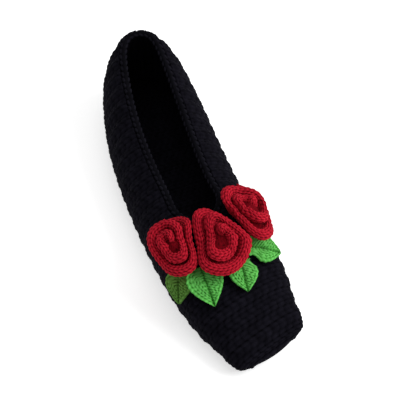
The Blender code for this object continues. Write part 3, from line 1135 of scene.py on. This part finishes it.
@dataclass
class Edging:
    """The round of chain stitches along the collar."""

    last: Last
    # The collar chain's painted highlight: a lighter copy of the black yarn.
    finish: YarnFinish = EDGE_HIGHLIGHT_YARN
    wall: float = 0.003
    radius: float = 0.0019
    rows: int = 130
    row_power: float = 1.5
    rim_columns: int = 4
    centre_lift: float = 0.03
    pitch: float = 0.0042
    chain_width: float = 2.3
    core_segments: int = 10
    core_share: float = 0.86
    core_shade: float = 0.25

    def line(self) -> tuple[list[Vector], list[Vector]]:
        """The middle line of the edging, with the way that its chain faces at each place.

        Returns:
            The places and the directions, all the way round.
        """
        rims = []
        for side in Side:
            rim = []
            for row in range(self.rows + 1):
                distance = self.last.throat * (1 - (1 - row / self.rows) ** self.row_power)
                outer = self.last.wall_points(distance, 0.0, self.rim_columns)[-1].base
                inner = self.last.wall_points(distance, self.wall, self.rim_columns)[-1].base
                rim.append((self.last.place(outer, side), self.last.place(inner, side)))
            rims.append(rim)
        loop = rims[0] + rims[1][-2:0:-1]
        middles = [(outer + inner) / 2 for outer, inner in loop]
        centre = Vector((0.0, 0.0, self.centre_lift))
        for middle in middles:
            centre += middle / len(middles)
        places = []
        ups = []
        for k, (outer, inner) in enumerate(loop):
            middle = middles[k]
            ahead = middles[(k + 1) % len(middles)] - middles[k - 1]
            inward = ahead.cross(outer - inner).normalized()
            if inward.dot(centre - middle) < 0:
                inward = -inward
            places.append(middle + inward * (self.radius + 2 * GAP))
            ups.append((outer - inner).normalized().lerp(inward, 0.5).normalized())
        return places, ups

    def build(self) -> bpy.types.Object:
        """Makes the piece that stands for the collar edging.

        Returns:
            The dressed piece.
        """
        places, ups = self.line()
        lobes = YarnLobes()
        lobes.chain(places, ups, self.pitch, self.chain_width * self.radius)
        mesh = lobes.mesh
        rows = []
        for k, (place, up) in enumerate(zip(places, ups)):
            ahead = (places[(k + 1) % len(places)] - places[k - 1]).normalized()
            aside = up.cross(ahead).normalized()
            row = []
            for segment in range(self.core_segments + 1):
                angle = 2 * math.pi * segment / self.core_segments
                ring = aside * math.cos(angle) + ahead.cross(aside) * math.sin(angle)
                # The core between the loops takes a low value: painted shade under the chain.
                row.append(Knot(place + ring * (self.radius * self.core_share), self.core_shade))
            rows.append(row)
        rows.append(rows[0])
        map_grid(mesh, rows)
        weld(mesh)
        close_ends(mesh)
        return add_piece("collar_chain", mesh, self.finish, ("collar_edging",))


class RosePlace(NamedTuple):
    """Place and size of a rose, the direction of its bud, and the end and sense of its strip."""

    name: str
    along: float
    across: float
    radius: float
    stretch: float
    slot: float
    end: float
    hand: int


class RoseAxes(NamedTuple):
    """The seat of a rose, its axis and the two directions across it."""

    hit: Vector
    axis: Vector
    ahead: Vector
    aside: Vector


@dataclass
class Seat:
    """The crests of the upper, with the ways to find a place on them."""

    last: Last
    ceiling: float = 0.2
    probe: float = 0.03

    def __post_init__(self) -> None:
        """Makes the search tree."""
        self.tree = self.last.crest_tree()

    def point(self, along: float, across: float) -> tuple[Vector, Vector]:
        """The point of the crests above a place on the last, with the outward direction.

        Args:
            along: Distance from the heel.
            across: Distance from the centre line, outer side positive.

        Returns:
            The point and the direction.
        """
        side = Side.LATERAL if across >= 0 else Side.MEDIAL
        top = self.last.place(Vector((along, abs(across), self.ceiling)), side)
        hit, normal, _, _ = self.tree.ray_cast(top, Vector((0.0, 0.0, -1.0)))
        return hit, normal if normal.z > 0 else -normal

    def under(self, place: Vector, axis: Vector) -> Vector | None:
        """The point of the crests under a place, looking down an axis."""
        return self.tree.ray_cast(place + axis * self.probe, -axis)[0]


class RimCorner(NamedTuple):
    """A corner of a petal's rim, out from its middle and down from its top, in thicknesses."""

    out: float
    down: float


@dataclass
class Roses:
    """The rolled roses, each a strip of crocheted petals from a tight bud to open outer petals."""

    seat: Seat
    finish: YarnFinish = RED_YARN
    turns: float = 2.25
    steps: int = 340
    petals: int = 7
    core_foot: float = 0.0022
    core_rim: float = 0.0026
    foot: float = 0.0115
    bud_height: float = 0.0170
    rim_height: float = 0.0085
    drop: float = 1.5
    opening: float = 1.2
    lobe_height: float = 0.0032
    lobe_share: float = 0.10
    oval: float = 0.36
    upright: float = 0.25
    foot_thick: float = 0.0026
    lowest: float = -0.0045
    rim_thick: float = 0.0072
    snug: float = 0.88
    hole: float = 0.0005
    tail: float = 0.075
    tail_thick: float = 0.55
    tail_draw: float = 0.22
    tail_height: float = 0.30
    bud_start: float = 0.88
    lobe_middle: float = 0.8
    belly_out: float = 0.55
    belly_up: float = 0.45
    rim_corners: tuple[RimCorner, ...] = (
        RimCorner(out=-0.50, down=0.45),
        RimCorner(out=-0.30, down=0.10),
        RimCorner(out=0.06, down=0.00),
        RimCorner(out=0.40, down=0.22),
        RimCorner(out=0.50, down=0.58),
    )
    rim_top: int = 4
    outline_steps: int = 9
    press_power: int = 10
    press_from: float = 0.05
    lap: float = 0.0010
    clearance: float = 0.0012
    end_fade: float = 30.0
    seat_skip: int = 3
    seat_fade: int = 4
    heart_fill: float = 0.74
    heart_fall: float = 0.32
    heart_draw: float = 0.25
    heart_reach: float = 0.22
    heart_shade: float = 0.30
    heart_steps: int = 60
    heart_rings: int = 14
    row: float = 0.0036
    stitch: float = 0.0031
    stitch_depth: float = 0.0012
    stitch_level: float = 0.6
    places: tuple[RosePlace, ...] = (
        RosePlace("rose_medial", 0.1622, -0.0244, 0.0214, 0.14, slot=0.28, end=3.00, hand=1),
        RosePlace("rose_centre", 0.1728, 0.0006, 0.0254, 0.02, slot=-0.59, end=2.60, hand=-1),
        RosePlace("rose_lateral", 0.1598, 0.0220, 0.0224, 0.34, slot=1.21, end=2.90, hand=1),
    )

    def __post_init__(self) -> None:
        """Finds the seats of all roses."""
        self.axes = {rose.name: self.find_axes(rose) for rose in self.places}

    def find_axes(self, rose: RosePlace) -> RoseAxes:
        """Seat, axis and the two directions across a rose.

        Args:
            rose: The rose.

        Returns:
            The rose's axes.
        """
        hit, normal = self.seat.point(rose.along, rose.across)
        axis = normal.lerp(Vector((0.0, 0.0, 1.0)), self.upright).normalized()
        ahead = Vector((0.0, -1.0, 0.0))
        ahead = (ahead - axis * ahead.dot(axis)).normalized()
        return RoseAxes(hit, axis, ahead, axis.cross(ahead))

    def outward(self, rose: RosePlace, share: float) -> tuple[float, Vector]:
        """Angle of the strip at a share of its length, and the direction out from the axis.

        Args:
            rose: The rose.
            share: From 0 at the bud to 1 at the outer end.

        Returns:
            The angle and the direction.
        """
        angle = rose.end - rose.hand * 2 * math.pi * self.turns * (1 - share)
        axes = self.axes[rose.name]
        return angle, axes.ahead * math.cos(angle) + axes.aside * math.sin(angle)

    def squeeze(self, rose: RosePlace, outward: Vector) -> float:
        """How much a rose is pressed in towards one side by the roses next to it.

        Args:
            rose: The rose.
            outward: The direction of that side.

        Returns:
            The factor for the radius there.
        """
        axes = self.axes[rose.name]
        middle = axes.hit + axes.axis * self.rim_height
        press = 1.0
        for other in self.places:
            if other.name == rose.name:
                continue
            other_axes = self.axes[other.name]
            towards = other_axes.hit + other_axes.axis * self.rim_height - middle
            limit = towards.length * rose.radius / (rose.radius + other.radius) + self.lap
            facing = outward.dot(towards.normalized())
            if facing > self.press_from:
                press += (facing * rose.radius / limit) ** self.press_power
        return press ** (-1 / self.press_power)

    def radius_at(self, rose: RosePlace, share: float, core: float, outer: float) -> float:
        """Middle radius of the strip at a share of its length, from its core to its outer turn.

        Args:
            rose: The rose.
            share: From 0 at the bud to 1 at the outer end.
            core: The radius at the bud.
            outer: The radius at the outer end.

        Returns:
            The radius.
        """
        angle, outward = self.outward(rose, share)
        oval = 1 + self.oval * (1 - share) * math.cos(2 * (angle - rose.slot))
        opened = 1 - (1 - min(share, 1.0)) ** self.opening
        stretch = 1 + rose.stretch * share * math.cos(2 * angle)
        return (core + (outer - core) * opened) * oval * stretch * self.squeeze(rose, outward)

    def room_at(self, rose: RosePlace, share: float, core: float, outer: float) -> float:
        """Room for the strip's thickness between the turns inside and outside it.

        Args:
            rose: The rose.
            share: From 0 at the bud to 1 at the outer end.
            core: The radius at the bud.
            outer: The radius at the outer end.

        Returns:
            The distance between the middles of two turns.
        """
        turn = 1 / self.turns
        here = self.radius_at(rose, share, core, outer)
        room = [self.rim_thick / self.snug]
        if share >= turn:
            room.append(here - self.radius_at(rose, share - turn, core, outer))
        if share <= 1 - turn:
            room.append(self.radius_at(rose, share + turn, core, outer) - here)
        return min(room)

    def top_at(self, share: float) -> float:
        """Height of the petals at a share of the strip's length, apart from their waves."""
        return self.bud_height + (self.rim_height - self.bud_height) * share ** self.drop

    def reach(self, rose: RosePlace) -> float:
        """Middle radius of a rose's rim at its outer end."""
        return rose.radius - self.rim_thick / 2

    def foot_height(self, rose: RosePlace, offset: Vector) -> float:
        """Height of a rose's foot over its seat, clear of the crests below it.

        Args:
            rose: The rose.
            offset: The place of the foot, from the seat.

        Returns:
            The height along the axis.
        """
        hit, axis, _, _ = self.axes[rose.name]
        below = self.seat.under(hit + offset, axis)
        if below is None:
            return self.lowest
        return max((below - hit).dot(axis) + self.clearance, self.lowest)

    def outline(self, rose: RosePlace, share: float) -> list[tuple[float, float]]:
        """The corners of the strip's section, out from the axis and along it.

        Args:
            rose: The rose.
            share: From 0 at the bud to 1 at the outer end.

        Returns:
            The corners, from the inner foot over the rim to the outer foot.
        """
        _, outward = self.outward(rose, share)
        reach = self.reach(rose)
        lobe = abs(math.sin(math.pi * self.petals * share)) - self.lobe_middle
        tail = smoothstep((1 - share) / self.tail)
        start = smoothstep(share / self.tail)
        room = self.snug * self.room_at(rose, share, self.core_rim, reach)
        foot = self.radius_at(rose, share, self.core_foot, self.foot)
        rim = self.radius_at(rose, share, self.core_rim, reach)
        thick = min(room * rise_from(self.tail_thick, tail), 2 * (rim - self.hole))
        rim -= self.tail_draw * room * (1 - tail)
        rim *= 1 + self.lobe_share * share ** 2 * lobe * tail
        top = self.top_at(share) + self.lobe_height * lobe
        top *= rise_from(self.tail_height, tail) * rise_from(self.bud_start, start)
        inner_foot = foot - self.foot_thick / 2
        outer_foot = foot + self.foot_thick / 2
        inner_seat = self.foot_height(rose, outward * inner_foot)
        outer_seat = self.foot_height(rose, outward * outer_foot)
        belly = foot + (rim - foot) * self.belly_out
        belly_thick = (thick + self.foot_thick) / 2
        belly_height = outer_seat + (top - outer_seat) * self.belly_up
        inner = [(inner_foot, inner_seat), (belly - belly_thick / 2, belly_height)]
        petal = [(rim + thick * corner.out, top - thick * corner.down) for corner in self.rim_corners]
        outer = [(belly + belly_thick / 2, belly_height), (outer_foot, outer_seat)]
        return inner + petal + outer

    def section(self, rose: RosePlace, share: float, length: float) -> list[Knot]:
        """The stitched section of a strip.

        Args:
            rose: The rose.
            share: From 0 at the bud to 1 at the outer end.
            length: Length of the rim up to there.

        Returns:
            The knots round the section, with the first one again at the end.
        """
        hit, axis, _, _ = self.axes[rose.name]
        _, outward = self.outward(rose, share)
        corners = self.outline(rose, share)
        floor = min(height for _, height in corners)
        smooth = closed_spline(corners, self.outline_steps)
        line = [(out, max(height, floor)) for out, height in smooth]
        count = len(line)
        arcs = running_lengths(line)
        rim_arc = arcs[self.rim_top * self.outline_steps]
        ends = smoothstep(share * self.end_fade) * smoothstep((1 - share) * self.end_fade)
        knots = []
        for k, (out, height) in enumerate(line):
            run_out = line[(k + 1) % count][0] - line[k - 1][0]
            run_up = line[(k + 1) % count][1] - line[k - 1][1]
            size = math.hypot(run_out, run_up) or 1.0
            chain = chain_relief((arcs[k] - rim_arc) / self.row + 0.5, length / self.stitch)
            from_foot = min(k, count - self.outline_steps - k)
            seated = smoothstep((from_foot - self.seat_skip) / self.seat_fade)
            relief = self.stitch_depth * (chain - self.stitch_level) * ends * seated
            out -= run_up / size * relief
            height += run_out / size * relief
            knots.append(Knot(hit + outward * out + axis * height, chain))
        return knots + knots[:1]

    def strip(self, rose: RosePlace) -> list[list[Knot]]:
        """All sections of a rose's strip, from the bud to the outer end.

        Args:
            rose: The rose.

        Returns:
            The knots by row and column.
        """
        hit, axis, _, _ = self.axes[rose.name]
        rows = []
        length = 0.0
        before = None
        for step in range(self.steps + 1):
            share = step / self.steps
            _, outward = self.outward(rose, share)
            out, height = self.outline(rose, share)[self.rim_top]
            rim = hit + outward * out + axis * height
            if before is not None:
                length += (rim - before).length
            before = rim
            rows.append(self.section(rose, share, length))
        return rows

    def bare(self, share: float) -> float:
        """How much the outer turn has thinned out at a share of the strip, either side of its end."""
        before = (1 - share) * self.turns
        return 1 - smoothstep(min(before, 1 - before) / self.heart_reach)

    def heart(self, rose: RosePlace) -> list[list[Knot]]:
        """The gathered foot of the strip, a dome that fills a rose up between its petals, coloured dark
        as painted shade.

        Args:
            rose: The rose.

        Returns:
            The knots by angle and then from the top of the dome to the middle of its base.
        """
        hit, axis, _, _ = self.axes[rose.name]
        reach = self.reach(rose)
        rows = []
        for step in range(self.heart_steps):
            share = 1 - step / (self.heart_steps * self.turns)
            _, outward = self.outward(rose, share)
            rim = self.radius_at(rose, share, self.core_rim, reach)
            edge = (rim + self.radius_at(rose, share, self.core_foot, self.foot)) / 2
            edge *= 1 - self.heart_draw * self.bare(share)
            row = []
            for ring in range(self.heart_rings + 1):
                part = ring / self.heart_rings
                inner = 1 - (1 - part * edge / rim) ** (1 / self.opening)
                around = round(2 * math.pi * part * edge / self.stitch) * step / self.heart_steps
                chain = chain_relief(part * edge / self.row, around)
                height = self.top_at(inner) * (self.heart_fill - self.heart_fall * part ** 3)
                height += self.stitch_depth * chain / 2
                # A low value paints shade into the heart between the petals.
                row.append(Knot(hit + outward * (edge * part) + axis * height, self.heart_shade * chain))
            row.append(Knot(hit + axis * self.foot_thick, 0.0))
            rows.append(row)
        return rows + rows[:1]

    def build(self) -> list[bpy.types.Object]:
        """Makes the pieces that stand for the roses.

        Returns:
            The dressed pieces.
        """
        made = []
        for rose in self.places:
            mesh = new_bmesh()
            map_grid(mesh, self.strip(rose))
            weld(mesh)
            map_grid(mesh, self.heart(rose))
            weld(mesh)
            close_ends(mesh)
            name = rose.name.replace("rose", "rolled_rose")
            made.append(add_piece(name, mesh, self.finish, (rose.name,)))
        return made


class LeafPlace(NamedTuple):
    """The ends of a leaf's mid vein, its width, its reach under a rose, its margins' curl and whether it
    is painted in shade.
    """

    name: str
    base: tuple[float, float]
    tip: tuple[float, float]
    width: float
    tuck: float
    curl_medial: float = 0.0016
    curl_lateral: float = 0.0016
    in_painted_shade: bool = False


@dataclass
class Leaves:
    """The pointed leaves that fan out from under the roses."""

    seat: Seat
    finish: YarnFinish = GREEN_YARN
    painted_shade_finish: YarnFinish = PAINTED_SHADE_GREEN_YARN
    thick: float = 0.0024
    curl: float = 0.0016
    stalk_start: float = 0.10
    stalk_power: float = 0.60
    tip_end: float = 1.02
    tip_power: float = 1.10
    widest: float = 0.402
    vein_thin: float = 0.72
    swell_rate: float = 1.1
    margin: float = 0.0012
    margin_thin: float = 0.40
    margin_lift: float = 0.75
    thinned: float = 0.0080
    stalk_thin: float = 0.30
    clearance: float = 0.0009
    scallop: float = 0.0003
    row_lean: float = 0.6
    rows: int = 84
    columns: int = 76
    row: float = 0.0035
    stitch: float = 0.0032
    stitch_depth: float = 0.0009
    row_start: float = 0.3
    rib: float = 0.0036
    rim_width: float = 0.0022
    rim_height: float = 0.0005
    rim_wave: float = 0.20
    field_start: float = 0.7
    field_fade: float = 0.001
    vein_width: float = 0.0011
    vein_depth: float = 0.0009
    vein_shade: float = 0.75
    lower_shade: float = 0.2
    places: tuple[LeafPlace, ...] = (
        LeafPlace("leaf_medial", (0.1742, -0.0290), (0.1876, -0.0346), 0.0215, tuck=0.0,
                  curl_lateral=0.0, in_painted_shade=True),
        LeafPlace("leaf_front_medial", (0.1800, -0.0174), (0.2026, -0.0206), 0.0232, tuck=0.0010,
                  curl_medial=0.0054),
        LeafPlace("leaf_front_lateral", (0.1893, 0.0058), (0.2052, 0.0008), 0.0190, tuck=0.0030),
        LeafPlace("leaf_lateral", (0.1827, 0.0186), (0.1900, 0.0322), 0.0200, tuck=0.0040),
    )

    def half_width(self, leaf: LeafPlace, share: float) -> float:
        """Half width of a leaf: rounded at the stalk and pointed at the tip.

        Args:
            leaf: The leaf.
            share: From 0 at the stalk to 1 at the tip.

        Returns:
            The half width.
        """
        share = max(share, 0.0)
        stalk = (share + self.stalk_start) ** self.stalk_power
        tip = (self.tip_end - share) ** self.tip_power
        return leaf.width / 2 * stalk * tip / self.widest

    def relief(self, lean: float, inside: float, from_vein: float, lateral: bool) -> tuple[float, float]:
        """Relief of a leaf's upper face.

        Args:
            lean: Place along the leaf, leaning outward towards the tip.
            inside: Distance from the margin.
            from_vein: Distance from the mid vein.
            lateral: Whether the place is on the half with fine ribs.

        Returns:
            The height over the plain face, and the painted light value, darkened along the mid vein as
            painted shade.
        """
        rope = strand(inside - self.rim_width / 2, self.rim_width / 2)
        rope *= 1 - self.rim_wave + self.rim_wave * math.cos(2 * math.pi * lean / self.stitch)
        chain = chain_relief(inside / self.row + self.row_start, lean / self.stitch)
        if lateral:
            chain = chain_relief(lean / self.rib, inside / self.stitch)
        field_share = smoothstep((inside - self.rim_width * self.field_start) / self.field_fade)
        vein = max(0.0, 1 - from_vein / self.vein_width)
        height = self.stitch_depth * (chain - 0.5) * field_share + self.rim_height * rope
        # Painted shade in the vein groove, painted highlight on the stitch crests and the margin rope.
        depth = max(chain * field_share, rope) * (1 - self.vein_shade * vein)
        return height - self.vein_depth * vein, depth

    def sheets(self, leaf: LeafPlace) -> tuple[list[list[Knot]], list[list[Knot]]]:
        """The lower and upper faces of a leaf.

        Args:
            leaf: The leaf.

        Returns:
            The knots of both by row and column.
        """
        base, base_normal = self.seat.point(*leaf.base)
        tip, tip_normal = self.seat.point(*leaf.tip)
        forward = (tip - base).normalized()
        up = base_normal + tip_normal
        up = (up - forward * up.dot(forward)).normalized()
        aside = up.cross(forward)
        length = (tip - base).length
        start = -leaf.tuck / length
        lower_rows = []
        upper_rows = []
        for number in range(self.rows + 1):
            share = start + (1 - start) * number / self.rows
            half = self.half_width(leaf, share)
            half += self.scallop * math.cos(2 * math.pi * share * length / self.stitch) * (1 - share)
            lower = []
            upper = []
            for column in range(self.columns + 1):
                off = math.sin(math.pi / 2 * (2 * column / self.columns - 1))
                flat = base + forward * length * share + aside * half * off
                below = self.seat.under(flat, up)
                place = flat if below is None else below
                curl = leaf.curl_lateral if off > 0 else leaf.curl_medial
                lift = self.clearance + curl * off * off + self.curl * max(share, 0.0) ** 3
                inside = min((1 - abs(off)) * half, (share - start) * length, (1 - share) * length)
                lean = share * length - self.row_lean * abs(off) * half
                height, depth = self.relief(lean, inside, abs(off) * half, off > 0)
                swell = math.sin(math.pi * min(abs(off) * self.swell_rate, 1.0))
                edge = strand(max(self.margin - inside, 0.0), self.margin)
                tucked = smoothstep((share - start) * length / self.thinned)
                rise = self.thick * rise_from(self.vein_thin, swell) + height * tucked
                rise *= rise_from(self.margin_thin, edge) * rise_from(self.stalk_thin, tucked)
                under = self.margin_lift * rise * (1 - edge)
                # The underside takes a low value: painted shade under the leaf.
                lower.append(Knot(place + up * (lift + under), self.lower_shade))
                upper.append(Knot(place + up * (lift + rise), depth))
            lower_rows.append(lower)
            upper_rows.append(upper)
        return lower_rows, upper_rows

    def build(self) -> list[bpy.types.Object]:
        """Makes the pieces that stand for the leaves.

        Returns:
            The dressed pieces.
        """
        made = []
        for leaf in self.places:
            lower_rows, upper_rows = self.sheets(leaf)
            mesh = new_bmesh()
            map_grid(mesh, lower_rows)
            map_grid(mesh, upper_rows)
            border = [edge for edge in mesh.edges if edge.is_boundary]
            bmesh.ops.bridge_loops(mesh, edges=border)
            close_ends(mesh)
            # Leaves in the roses' shadow take the darker copy of the green yarn as painted shade.
            finish = self.painted_shade_finish if leaf.in_painted_shade else self.finish
            name = leaf.name.replace("leaf", "crochet_leaf")
            made.append(add_piece(name, mesh, finish, (leaf.name,)))
        return made


class Lamp(NamedTuple):
    """A soft lamp: its name, place, width and power in watts."""

    name: str
    place: tuple[float, float, float]
    size: float
    power: float


@dataclass
class Studio:
    """The pale floor, the soft lights and the camera."""

    target: tuple[float, float, float] = (0.0, 0.0, 0.02)
    azimuth: float = -20.56
    elevation: float = 56.65
    roll: float = -1.61
    distance: float = 1.1
    pixels_per_metre: float = 1367.8
    zoom: float = 1.12
    aim_right: float = 0.0083
    aim_up: float = 0.0027
    image_width: float = 400.0
    sensor_width: float = 36.0
    floor_size: float = 6.0
    floor_roughness: float = 0.9
    floor_glow: float = 0.55
    paper_scale: float = 30.0
    paper_detail: float = 2.0
    paper_tones: tuple[float, float] = (0.88, 0.92)
    world_glow: float = 0.40
    lamps: tuple[Lamp, ...] = (
        Lamp("key_lamp", (1.0, -0.35, 0.9), size=1.2, power=16.5),
        Lamp("top_lamp", (0.1, 0.35, 1.5), size=1.2, power=4.5),
    )

    def floor(self) -> None:
        """Lays the pale floor."""
        mesh = bmesh.new()
        bmesh.ops.create_grid(mesh, x_segments=2, y_segments=2, size=self.floor_size / 2)
        data = bpy.data.meshes.new("studio_floor")
        mesh.to_mesh(data)
        mesh.free()
        material = bpy.data.materials.new("pale_floor")
        material.use_nodes = True
        tree = material.node_tree
        shader = tree.nodes["Principled BSDF"]
        shader.inputs["Roughness"].default_value = self.floor_roughness
        shader.inputs["Emission Color"].default_value = WHITE
        shader.inputs["Emission Strength"].default_value = self.floor_glow
        ramp = tree.nodes.new("ShaderNodeValToRGB")
        for stop, tone in zip(ramp.color_ramp.elements, self.paper_tones):
            stop.color = (tone, tone, tone, 1.0)
        paper = object_noise(tree, self.paper_scale, self.paper_detail)
        tree.links.new(paper, ramp.inputs["Fac"])
        tree.links.new(ramp.outputs["Color"], shader.inputs["Base Color"])
        data.materials.append(material)
        floor = bpy.data.objects.new("studio_floor", data)
        bpy.context.scene.collection.objects.link(floor)

    def light(self) -> None:
        """Lights the scene evenly, with soft lamps that face the slipper."""
        scene = bpy.context.scene
        world = bpy.data.worlds.new("studio_world")
        world.use_nodes = True
        back = world.node_tree.nodes["Background"]
        back.inputs["Color"].default_value = WHITE
        back.inputs["Strength"].default_value = self.world_glow
        scene.world = world
        for lamp in self.lamps:
            data = bpy.data.lights.new(lamp.name, "AREA")
            data.shape = "DISK"
            data.size = lamp.size
            data.energy = lamp.power
            hung = bpy.data.objects.new(lamp.name, data)
            hung.location = lamp.place
            hung.rotation_euler = (-Vector(lamp.place)).to_track_quat("-Z", "Y").to_euler()
            scene.collection.objects.link(hung)
        scene.view_settings.view_transform = "Standard"

    def camera(self) -> None:
        """Sets the camera at the viewing angle, with the slipper in the middle of the frame."""
        a = math.radians(self.azimuth)
        e = math.radians(self.elevation)
        back = Vector((math.sin(a) * math.cos(e), -math.cos(a) * math.cos(e), math.sin(e)))
        right = Vector((math.cos(a), math.sin(a), 0.0))
        up = back.cross(right)
        r = math.radians(self.roll)
        tilted_right = right * math.cos(r) + up * math.sin(r)
        tilted_up = up * math.cos(r) - right * math.sin(r)
        aim = Vector(self.target) + tilted_right * self.aim_right + tilted_up * self.aim_up
        data = bpy.data.cameras.new("camera")
        field_width = self.image_width / (self.pixels_per_metre * self.zoom)
        data.sensor_width = self.sensor_width
        data.lens = data.sensor_width * self.distance / field_width
        camera = bpy.data.objects.new("camera", data)
        turn = Matrix((tilted_right, tilted_up, back)).transposed().to_4x4()
        camera.matrix_world = Matrix.Translation(aim + back * self.distance) @ turn
        bpy.context.scene.collection.objects.link(camera)
        bpy.context.scene.camera = camera

    def build(self) -> None:
        """Makes the floor, the lights and the camera."""
        self.floor()
        self.light()
        self.camera()


def main() -> None:
    """Builds the studio and every piece of the slipper in order."""
    logging.basicConfig(level=logging.INFO)
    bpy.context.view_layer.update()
    Studio().build()
    last = Last()
    LOG.info("fabric %.4f m, shift %s", last.fabric, tuple(last.shift))
    Upper(last).build()
    sole = Sole(last)
    sole.build()
    sole.build_seam()
    Edging(last).build()
    seat = Seat(last)
    Roses(seat).build()
    Leaves(seat).build()


if __name__ == "__main__":
    main()
